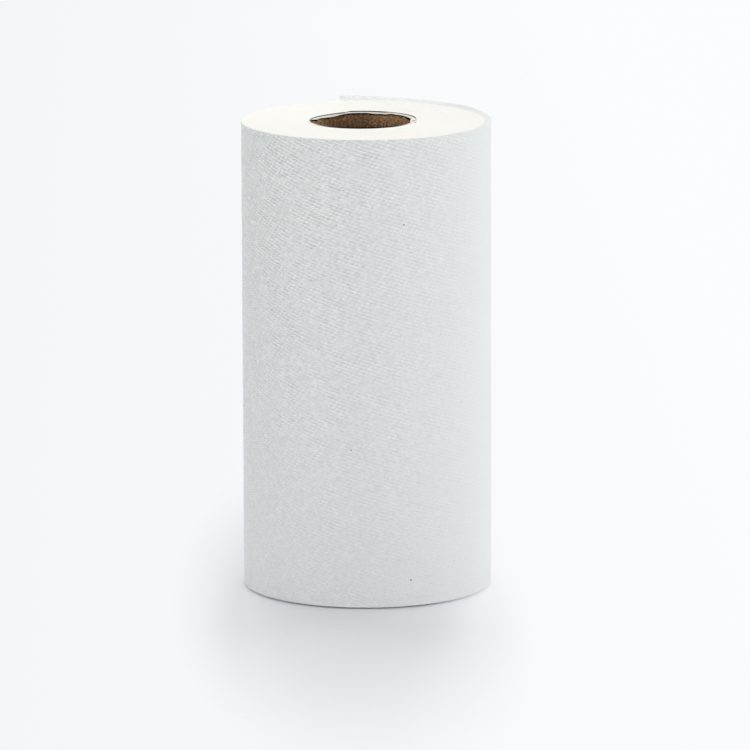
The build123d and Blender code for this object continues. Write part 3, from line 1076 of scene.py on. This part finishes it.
class ROLL_OT_cut_turns(bpy.types.Operator):
    """Makes the sawn edges of the turns on both ends"""

    bl_idname = "roll.cut_turns"
    bl_label = "Cut turns"

    def execute(self, context):
        web = context.scene.roll_web
        tree = edge_tree()
        outer = ROLL_RADIUS - web.wound_pitch
        inner = HOLE_RADIUS + HOLE_MARGIN + web.wound_pitch / 2
        # Painted shade of the gaps between the loose last turns
        loose = (web.loose_gap_shade_strength, web.loose_gap_shade)
        sawn = tissue("Sawn tissue edges", web.cut_edge, web.cut_edge, 0, loose=loose)
        for name, level, side, inset in (
            ("upper_turns", WEB_HIGH.z, 1.0, 0),
            ("lower_turns", WEB_LOW.z, -1.0, FOOT_INSET),
        ):
            inputs = {
                "Turns": round((outer - inset - inner) / web.wound_pitch),
                "Points per turn": TURN_POINTS,
                "Inner radius": inner,
                "Outer radius": outer - inset,
                "Inner centre": HOLE_CENTRE,
                "Outer centre": ROLL_CENTRE,
                "Level": level,
                "Side": side,
                "Ridge": web.cut_ridge,
                "Unevenness": web.cut_unevenness,
                "Material": sawn,
            }
            base = bpy.data.meshes.new(name + "_base")
            grow(name, base, tree, inputs)
        return {"FINISHED"}


class ROLL_OT_core(bpy.types.Operator):
    """Gives the board core its material"""

    bl_idname = "roll.core"
    bl_label = "Board core"

    def execute(self, context):
        core = bpy.data.objects["core_tube"]
        core.data.materials.clear()
        core.data.materials.append(board("Spiral wound core board", context.scene.roll_core))
        return {"FINISHED"}


def ragged(bearing, seed):
    """Uneven tearing round the core, from 0 to 1."""
    spot = Vector((math.cos(bearing), math.sin(bearing), seed))
    return min(1, max(0, 0.5 + 0.6 * noise.noise(7 * spot) + 0.5 * noise.noise(29 * spot)))


def swell(bearing, degrees, spread):
    """1 at a bearing, falling off on both sides of it over a spread in degrees."""
    off = math.degrees(bearing) - degrees
    return math.exp(-((((off + 180) % 360 - 180) / spread) ** 2))


def mix(a, b, share):
    """The value at a share of the way from one to the other."""
    return a + share * (b - a)


# By bearing in degrees round the upper end: how deep in mm the frayed ply hangs, and how
# deep the first turn's edge is folded into the bore above it
PLY_DEPTHS = (
    (0, 0.5), (20, 0.35), (35, 0.25), (51, 0.28), (60, 0.72), (72, 0.76), (80, 0.45), (90, 0.47),
    (100, 0.5), (108, 0.72), (117, 1.15), (127, 1.4), (153, 1.2), (166, 0.7), (185, 0.4), (360, 0.5),
)
FOLD_DEPTHS = (
    (0, 0.0), (100, 0.0), (108, 0.17), (127, 0.38), (153, 0.3), (180, 0.2), (195, 0.0), (360, 0.0),
)

# The fold closes the gap between core and paper from this depth on
CLOSING_DEPTH = 0.15 * MM


def between(table, bearing):
    """The value at a bearing between the entries of a table."""
    degrees = math.degrees(bearing) % 360
    for (start, low), (end, high) in zip(table, table[1:]):
        if start <= degrees <= end:
            return mix(low, high, (degrees - start) / (end - start))
    raise ValueError(f"no entry for {degrees} degrees")


def fold_depth(bearing, side):
    """How deep the first turn's fold reaches into the bore, which it does on the upper end only."""
    return MM * between(FOLD_DEPTHS, bearing) if side > 0 else 0.0


def folded_share(bearing, side):
    """0 where the first turn ends in the gap, and 1 where it is folded over the core's end."""
    return min(1, fold_depth(bearing, side) / CLOSING_DEPTH)


def lip_profile(core, bearing, side):
    """The frayed ply at a bearing, as radius and depth under the end face."""
    drop = core.lip_drop * (0.7 + 0.5 * ragged(bearing, side))
    curl = core.lip_curl * (0.6 + 0.6 * ragged(bearing, 3 * side))
    fold = fold_depth(bearing, side)
    if side > 0:
        flat_front = 1 - 0.8 * swell(bearing, -90, 60)
        flat_left = 1 - 0.5 * swell(bearing, 185, 25)
        drop = MM * between(PLY_DEPTHS, bearing) * (0.85 + 0.3 * ragged(bearing, side))
        curl = max(curl, 0.9 * drop) * flat_front * flat_left
    top = fold + 0.02 * MM + 0.1 * MM * folded_share(bearing, side)
    return (
        (BORE_RADIUS + 0.15 * MM, top),
        (BORE_RADIUS, top),
        (BORE_RADIUS - 0.75 * curl, mix(top, drop, 0.7)),
        (BORE_RADIUS - curl, drop),
        (BORE_RADIUS + 0.1 * MM, mix(top, drop, 0.95)),
    )


def ply_shadow_profile(core, bearing, side):
    """A dark ply: at the back a painted shadow under the frayed one, and in front a dark band over the rim of
    the end.
    """
    lip = lip_profile(core, bearing, side)
    drop = lip[3][1]
    edge = BORE_RADIUS - lip[3][0]
    front = swell(bearing, -90, 60) if side > 0 else 0
    pocket = swell(bearing, 17, 8) if side > 0 else 0
    fall = 0.6 * MM * (0.7 + 0.6 * ragged(bearing, 5 * side)) + 1.0 * MM * pocket
    top = mix(drop - 0.1 * MM, 0.04 * MM, front)
    bottom = mix(drop + fall, 0.3 * MM, front)
    reach = mix(0.6 * edge, 2.7 * MM * (0.8 + 0.4 * ragged(bearing, 6)), front)
    return (
        (BORE_RADIUS + 0.1 * MM, top),
        (BORE_RADIUS - reach, top),
        (BORE_RADIUS - reach, mix(top, bottom, 0.85)),
        (BORE_RADIUS - 0.05 * MM, bottom),
        (BORE_RADIUS + 0.1 * MM, bottom - 0.05 * MM),
    )


def gap_profile(bearing, inner_share, outer_share):
    """A filling of the gap between core and paper, between two shares of its width."""
    out = WEB_SETBACK * math.sin(bearing)
    wall = out + math.sqrt(HOLE_RADIUS**2 - (WEB_SETBACK * math.cos(bearing)) ** 2)
    near = CORE_RADIUS - 0.05 * MM
    far = wall + 0.32 * MM
    start, end = mix(near, far, inner_share), mix(near, far, outer_share)
    top, bottom = 0.02 * MM, 0.8 * MM
    return ((end, top), (start, top), (start, bottom), (end, bottom))


def gap_shade_share(bearing, side):
    """How much of the gap is dark with painted shade: most of it round the back, none where a fold covers it.
    """
    share = min(1, max(0, math.sin(bearing) / 0.45))
    return (0.25 + 0.73 * share * share * (3 - 2 * share)) * (1 - folded_share(bearing, side))


def gap_shade_profile(core, bearing, side):
    """A dark sheet of painted shade in the gap between core and paper; where the fold covers the gap, it lies
    under the fold as the crease's shade.
    """
    fold = fold_depth(bearing, side)
    in_gap = gap_profile(bearing, 0, gap_shade_share(bearing, side))
    outer, inner = BORE_RADIUS + 0.1 * MM, BORE_RADIUS - 0.1 * MM
    top, bottom = max(0.02 * MM, fold - 0.16 * MM), fold + 0.2 * MM
    under_fold = ((outer, top), (inner, top), (inner, bottom), (outer, bottom))
    share = folded_share(bearing, side)
    return [[mix(a, b, share) for a, b in zip(p, q)] for p, q in zip(in_gap, under_fold)]


def first_turn_profile(core, bearing, side):
    """The frayed edge of the first turn, in the rest of the gap."""
    return gap_profile(bearing, gap_shade_share(bearing, side) - 0.02, 1)


def fold_profile(core, bearing, side):
    """The first turn's edge folded into the bore, hidden in the core's wall where there is none."""
    bottom = max(0.06 * MM, fold_depth(bearing, side) - 0.12 * MM)
    reach = mix(-0.05 * MM, bottom, folded_share(bearing, side))
    return (
        (BORE_RADIUS + 0.15 * MM, 0.01 * MM),
        (BORE_RADIUS + 0.05 * MM, 0.01 * MM),
        (BORE_RADIUS - reach, 0.9 * bottom),
        (BORE_RADIUS + 0.15 * MM, bottom),
    )


class ROLL_OT_frayed_core(bpy.types.Operator):
    """Makes the frayed plies that the saw left on both ends of the core, with dark sheets of painted shade
    under them and in the gap
    """

    bl_idname = "roll.frayed_core"
    bl_label = "Frayed core"

    def execute(self, context):
        core = context.scene.roll_core
        layers = (
            ("lip", lip_profile, fluff("Frayed ply", core.frayed, True), "core_board"),
            # A dark ply painted as the shadow under the frayed one
            ("ply", ply_shadow_profile, fluff("Dark ply as painted shadow", core.torn, False), "core_board"),
            # A dark sheet painted as the shadow in the gap and in the crease
            ("gap_shade", gap_shade_profile, fluff("Painted gap shadow", core.gap_shade, False), "core_board"),
            ("first_turn", first_turn_profile, bpy.data.materials["Sawn tissue edges"], "tissue_paper"),
            ("fold", fold_profile, bpy.data.materials["Sawn tissue edges"], "tissue_paper"),
        )
        bearings = [TAU * i / LIP_COLUMNS for i in range(LIP_COLUMNS)]
        for name, level, side in (("upper", CORE_HIGH.z, 1), ("lower", CORE_LOW.z, -1)):
            for layer, profile, material, slot in layers:
                sections = [
                    [at_bearing(b, radius, level - side * depth) for radius, depth in profile(core, b, side)]
                    for b in bearings
                ]
                mesh = loft(sections[::side], True)
                mesh.materials.append(material)
                add_piece(f"{name}_{layer}", mesh)
        return {"FINISHED"}


class ROLL_OT_torn_flap(bpy.types.Operator):
    """Makes the scrap of tissue on the right of the core's upper end, with a splinter of board"""

    bl_idname = "roll.torn_flap"
    bl_label = "Torn flap"

    def execute(self, context):
        core = context.scene.roll_core
        top = CORE_HIGH.z - 0.01 * MM
        sections = []
        for i in range(FLAP_COLUMNS + 1):
            bearing = mix(core.flap_start, core.flap_end, i / FLAP_COLUMNS)
            edge = core.flap_edge + 0.5 * MM * (ragged(3 * bearing, 7) - 0.5)
            inner = min(BORE_RADIUS - 0.1 * MM, edge / math.cos(bearing))
            outer = HOLE_RADIUS + 0.5 * MM * ragged(5 * bearing, 9)
            outline = (
                (outer, top - 0.04 * MM),
                (BORE_RADIUS, top),
                (mix(BORE_RADIUS, inner, 0.6), top - 0.05 * MM),
                (inner, top - 0.3 * MM),
                (inner + 0.05 * MM, top - 0.45 * MM),
                (mix(BORE_RADIUS, inner, 0.5), top - 0.25 * MM),
                (outer, top - 0.2 * MM),
            )
            sections.append([at_bearing(bearing, radius, z) for radius, z in outline])
        flap = loft(sections, False)
        flap.materials.append(bpy.data.materials["Sawn tissue edges"])
        add_piece("torn_flap", flap)

        # The splinter and a dark chip lie on the flap: their ends and widths are in mm
        for name, tone, start, end, width in (
            ("board_splinter", core.splinter, (20.9, -5.2), (22.5, -1.2), 0.45),
            ("board_chip", core.torn, (22.3, -8.6), (22.7, -7.2), 0.3),
        ):
            foot, tip = (MM * Vector((x, y, 0)) for x, y in (start, end))
            side = MM * width * (tip - foot).normalized().cross(Vector((0, 0, 1)))
            sections = []
            for i in range(SPLINTER_BENDS + 1):
                share = i / SPLINTER_BENDS
                middle = foot.lerp(tip, share) + 0.4 * math.sin(5 * share) * side
                half = side * (0.35 + math.sin(math.pi * share)) * 0.75
                high, low = (Vector((0, 0, CORE_HIGH.z - depth * MM)) for depth in (0.0, 0.2))
                sections.append(
                    [middle + half + low, middle + half + high, middle - half + high, middle - half + low]
                )
            mesh = loft(sections, False)
            mesh.materials.append(fluff(f"{name} fibres", tone, False))
            add_piece(name, mesh)
        return {"FINISHED"}


class ROLL_OT_flecks(bpy.types.Operator):
    """Sets dark flecks of recycled fibre in the skin of the web"""

    bl_idname = "roll.flecks"
    bl_label = "Flecks"

    def execute(self, context):
        skin = bpy.data.objects["wound_body"]
        chance = random.Random(FLECK_SEED)
        spots = [(math.radians(bearing), height * MM, size * MM) for bearing, height, size in SEEN_FLECKS]
        first_bearing, last_bearing = (math.radians(bearing) for bearing in FLECK_BEARINGS)
        for _ in range(context.scene.roll_web.flecks):
            bearing = chance.uniform(first_bearing, last_bearing)
            height = chance.uniform(WEB_LOW.z, WEB_HIGH.z)
            spots.append((bearing, height, chance.uniform(*FLECK_SIZES) * MM))
        points, faces = [], []
        for bearing, height, size in spots:
            outside = ROLL_CENTRE + Vector((math.cos(bearing), math.sin(bearing), 0)) * ROLL_RADIUS
            outside.z = height
            found, place, normal, _ = skin.closest_point_on_mesh(outside)
            if not found:
                raise RuntimeError("a fleck found no skin under it")
            turn = chance.uniform(0, math.pi)
            side = normal.cross(Vector((math.sin(turn), 0.2, math.cos(turn)))).normalized()
            along = normal.cross(side)
            first = len(points)
            points += [
                place + size * side,
                place + 0.6 * size * along,
                place - size * side,
                place - 0.6 * size * along,
                place + 0.3 * size * normal,
                place - 0.3 * size * normal,
            ]
            for k in range(4):
                a, b = first + k, first + (k + 1) % 4
                faces += [(a, b, first + 4), (b, a, first + 5)]
        mesh = bpy.data.meshes.new("flecks")
        mesh.from_pydata(points, [], faces)
        mesh.materials.append(fluff("Fibre flecks", context.scene.roll_web.fleck, False))
        add_piece("flecks", mesh)
        return {"FINISHED"}


class StageSettings(bpy.types.PropertyGroup):
    """Camera, floor and studio light."""

    lens: bpy.props.FloatProperty(
        name="Lens", default=344.63, description="On a 36 mm sensor", unit="CAMERA"
    )
    place: bpy.props.FloatVectorProperty(
        name="Camera place",
        default=(-102.5 * MM, -2994.1 * MM, 685.5 * MM),
        description="From the foot of the core's axis",
        subtype="TRANSLATION",
        size=3,
    )
    pitch: angle("Pitch", 11.24, "How far the camera looks down")
    yaw: angle("Yaw", 2.063, "How far the camera looks to the right")
    roll: angle("Roll", -0.185, "How far the camera is tipped")
    floor: colour("Floor", "EFF2F5", "Pale floor")
    floor_roughness: fraction("Floor roughness", 0.35, "Satin")
    backdrop_left: colour("Backdrop left", "F3F5F8", "What the camera sees far to the left")
    backdrop_right: colour("Backdrop right", "FBFCFE", "What the camera sees far to the right")


# The floor shows the roll's shadow in an oval, which is long from front to back: from its
# middle it is moved by this much, stretched by this much, and fades out between two radii
OVAL_SHIFT = (0.008, 0.05, 0.0)
OVAL_STRETCH = (2.5, 0.6, 1.0)
OVAL_FROM, OVAL_TO = 0.07, 0.2
TONE_REACH = 0.2  # the backdrop's two tones lie this far left and right

# Name, place and size in metres, and power in watts
LAMPS = (
    ("back", (-0.1, 1.2, 1.8), 1.8, 30.0),
    ("front_high", (0.1, -1.3, 1.9), 1.5, 7.0),
    ("front_left", (-1.3, -1.7, 1.0), 1.0, 9.0),
    ("front_right", (1.3, -1.7, 1.0), 1.0, 12.0),
    ("left", (-2.0, -0.2, 0.8), 1.2, 9.8),
    ("right", (2.0, -0.4, 0.8), 1.2, 10.0),
    ("right_back", (1.7, 1.1, 0.9), 1.0, 11.8),
)
LIT_PLACE = Vector((0, 0, 0.1))  # that they point at, the middle of the roll
FLOOR_REACH = 6.0  # from the roll to each side, in metres
AMBIENT = 0.1  # strength of the plain white all round


def painted_floor(name, stage):
    """Satin white paint, which the camera sees as an even white away from the roll."""
    material, tree, shader = new_material(name, stage.floor_roughness, 0.5)
    shader.inputs["Base Color"].default_value = stage.floor
    place = node(tree, "ShaderNodeTexCoord").outputs["Object"]
    ahead = node(tree, "ShaderNodeVectorMath", {0: place, 1: OVAL_SHIFT}, operation="ADD")
    oval = node(tree, "ShaderNodeVectorMath", {0: ahead, 1: OVAL_STRETCH}, operation="MULTIPLY")
    far = node(tree, "ShaderNodeVectorMath", {0: oval}, operation="LENGTH").outputs["Value"]
    outer = node(
        tree,
        "ShaderNodeMapRange",
        {0: far, 1: OVAL_FROM, 2: OVAL_TO, 3: 0.0, 4: 1.0},
        interpolation_type="SMOOTHSTEP",
    )
    rays = node(tree, "ShaderNodeLightPath").outputs
    seen = node(
        tree, "ShaderNodeMath", {0: rays["Is Camera Ray"], 1: rays["Is Glossy Ray"]}, operation="MAXIMUM"
    )
    blank = node(tree, "ShaderNodeMath", {0: outer, 1: seen}, operation="MULTIPLY")
    across = node(tree, "ShaderNodeSeparateXYZ", {0: place}).outputs["X"]
    tone = node(tree, "ShaderNodeMapRange", {0: across, 1: -TONE_REACH, 2: TONE_REACH, 3: 0.0, 4: 1.0})
    backdrop = node(
        tree, "ShaderNodeMix", {0: tone, 6: stage.backdrop_left, 7: stage.backdrop_right}, data_type="RGBA"
    )
    glow = node(tree, "ShaderNodeEmission", {"Color": backdrop, "Strength": 1.0})
    mixed = node(tree, "ShaderNodeMixShader", {0: blank, 1: shader, 2: glow})
    tree.links.new(mixed.outputs[0], tree.nodes["Material Output"].inputs["Surface"])
    return material


class ROLL_OT_stage(bpy.types.Operator):
    """Makes the floor, the soft studio light and the camera"""

    bl_idname = "roll.stage"
    bl_label = "Stage"

    def execute(self, context):
        stage = context.scene.roll_stage
        scene = context.scene
        scene.view_settings.view_transform = "Standard"
        camera = bpy.data.cameras.new("camera")
        camera.sensor_width = 36
        camera.lens = stage.lens
        camera.clip_end = 50
        eye = bpy.data.objects.new("camera", camera)
        scene.collection.objects.link(eye)
        eye.location = stage.place
        aim = Euler((math.radians(90) - stage.pitch, 0, -stage.yaw)).to_matrix()
        tip = Euler((0, 0, stage.roll)).to_matrix()
        eye.rotation_euler = (aim @ tip).to_euler()
        scene.camera = eye

        floor_mesh = bpy.data.meshes.new("floor")
        corners = [(x * FLOOR_REACH, y * FLOOR_REACH, 0) for x, y in ((-1, -1), (1, -1), (1, 1), (-1, 1))]
        floor_mesh.from_pydata(corners, [], [(0, 1, 2, 3)])
        floor = bpy.data.objects.new("floor", floor_mesh)
        scene.collection.objects.link(floor)
        floor_mesh.materials.append(painted_floor("Painted floor", stage))

        world = bpy.data.worlds.new("studio")
        world.use_nodes = True
        light = world.node_tree.nodes["Background"]
        light.inputs["Strength"].default_value = AMBIENT
        light.inputs["Color"].default_value = (1, 1, 1, 1)
        scene.world = world
        for name, place, size, power in LAMPS:
            lamp = bpy.data.lights.new(name, "AREA")
            lamp.size = size
            lamp.energy = power
            hung = bpy.data.objects.new(name, lamp)
            scene.collection.objects.link(hung)
            hung.location = place
            hung.rotation_euler = (LIT_PLACE - Vector(place)).to_track_quat("-Z", "Y").to_euler()
        return {"FINISHED"}


class ROLL_PT_panel(bpy.types.Panel):
    """Lists what makes the roll"""

    bl_idname = "ROLL_PT_panel"
    bl_label = "Kitchen roll"
    bl_space_type = "VIEW_3D"
    bl_region_type = "UI"
    bl_category = "Roll"

    def draw(self, context):
        for operator in OPERATORS:
            self.layout.operator(operator.bl_idname)


SETTINGS = {
    "roll_web": WebSettings,
    "roll_loose": LooseSettings,
    "roll_core": CoreSettings,
    "roll_stage": StageSettings,
}
OPERATORS = (
    ROLL_OT_wound_body,
    ROLL_OT_loose_end,
    ROLL_OT_cut_turns,
    ROLL_OT_core,
    ROLL_OT_frayed_core,
    ROLL_OT_torn_flap,
    ROLL_OT_flecks,
    ROLL_OT_stage,
)


def register():
    """Tells Blender of the settings, the operators and the panel."""
    for settings in SETTINGS.values():
        bpy.utils.register_class(settings)
    for name, settings in SETTINGS.items():
        setattr(bpy.types.Scene, name, bpy.props.PointerProperty(type=settings))
    for operator in OPERATORS:
        bpy.utils.register_class(operator)
    bpy.utils.register_class(ROLL_PT_panel)


def unregister():
    """Takes them out again."""
    bpy.utils.unregister_class(ROLL_PT_panel)
    for operator in reversed(OPERATORS):
        bpy.utils.unregister_class(operator)
    for name in SETTINGS:
        delattr(bpy.types.Scene, name)
    for settings in SETTINGS.values():
        bpy.utils.unregister_class(settings)


def main():
    """Makes every piece in order."""
    register()
    bpy.ops.roll.wound_body()
    bpy.ops.roll.loose_end()
    bpy.ops.roll.cut_turns()
    bpy.ops.roll.core()
    bpy.ops.roll.frayed_core()
    bpy.ops.roll.torn_flap()
    bpy.ops.roll.flecks()
    bpy.ops.roll.stage()


if __name__ == "__main__":
    main()
